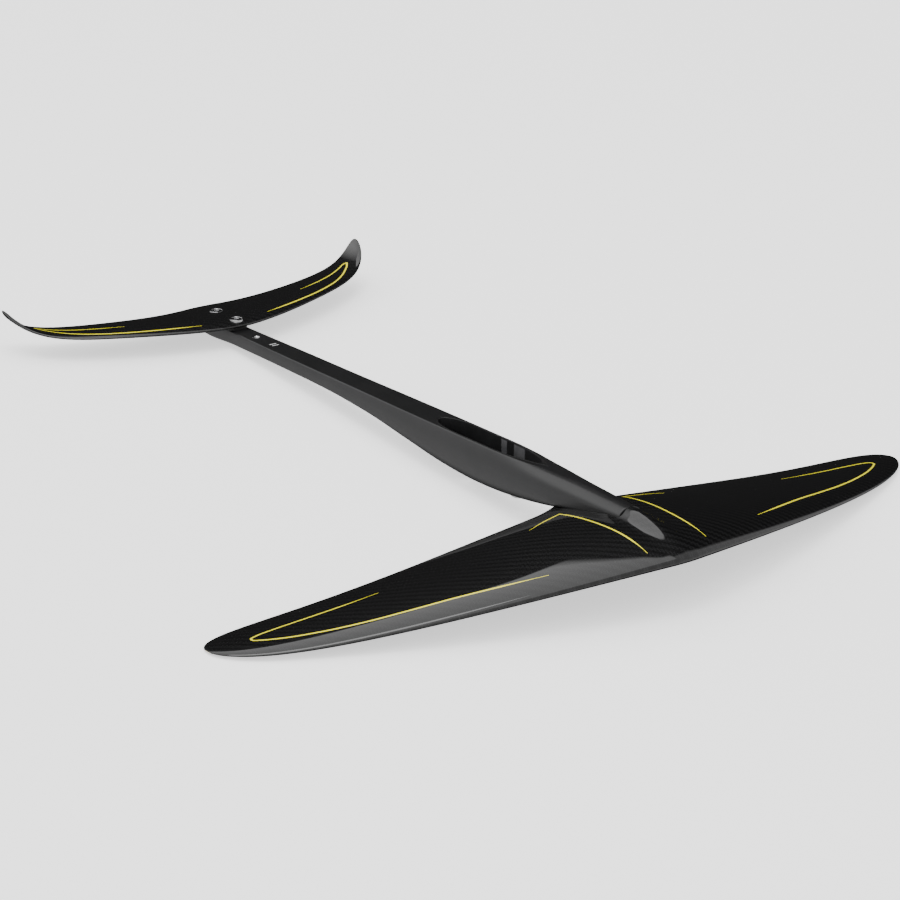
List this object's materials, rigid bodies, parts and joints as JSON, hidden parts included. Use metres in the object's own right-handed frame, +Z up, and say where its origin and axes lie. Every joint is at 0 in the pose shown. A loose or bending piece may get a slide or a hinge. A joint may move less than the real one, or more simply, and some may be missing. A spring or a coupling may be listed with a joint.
{
  "type": "hydrofoil wing set",
  "caption": "Swept front wing, fuselage with a mast socket and a rear stabiliser with upturned tips, bolted together to lift a board on a foil mast.",
  "frame": {"origin": "middle of the two mast screw holes, on the floor of the mast socket", "axes": "+X across the span, -Y towards the nose, +Z up out of the mast socket"},
  "size_m": [0.7688, 0.7877, 0.1004],
  "materials": {
    "wing_carbon": "clear coated carbon twill with yellow pinstripes",
    "fuselage_satin": "satin dark grey over carbon",
    "foam_core": "closed cell foam",
    "laminate": "solid carbon laminate",
    "socket_plastic": "matte black moulding",
    "stainless": "bright stainless steel"
  },
  "bodies": {
    "root": {"front_wing_upper_skin": "wing_carbon", "front_wing_lower_skin": "wing_carbon", "front_wing_left_core": "foam_core", "front_wing_right_core": "foam_core", "front_wing_root_block": "laminate", "front_wing_screw_ferrules": "stainless", "front_wing_screws": "stainless", "front_wing_inserts": "stainless", "fuselage_shell": "fuselage_satin", "fuselage_nose_block": "laminate", "fuselage_boom_core": "foam_core", "fuselage_tail_block": "laminate", "mast_socket_liner": "socket_plastic", "mast_socket_pads": "socket_plastic", "mast_screw_plate": "stainless", "mast_screw_ferrules": "stainless", "stabiliser_upper_skin": "wing_carbon", "stabiliser_lower_skin": "wing_carbon", "stabiliser_left_core": "foam_core", "stabiliser_right_core": "foam_core", "stabiliser_root_block": "laminate", "stabiliser_saddle": "socket_plastic", "stabiliser_screw_ferrules": "stainless", "stabiliser_screws": "stainless", "stabiliser_inserts": "stainless", "spare_stabiliser_insert": "stainless"}
  },
  "joints": []
}
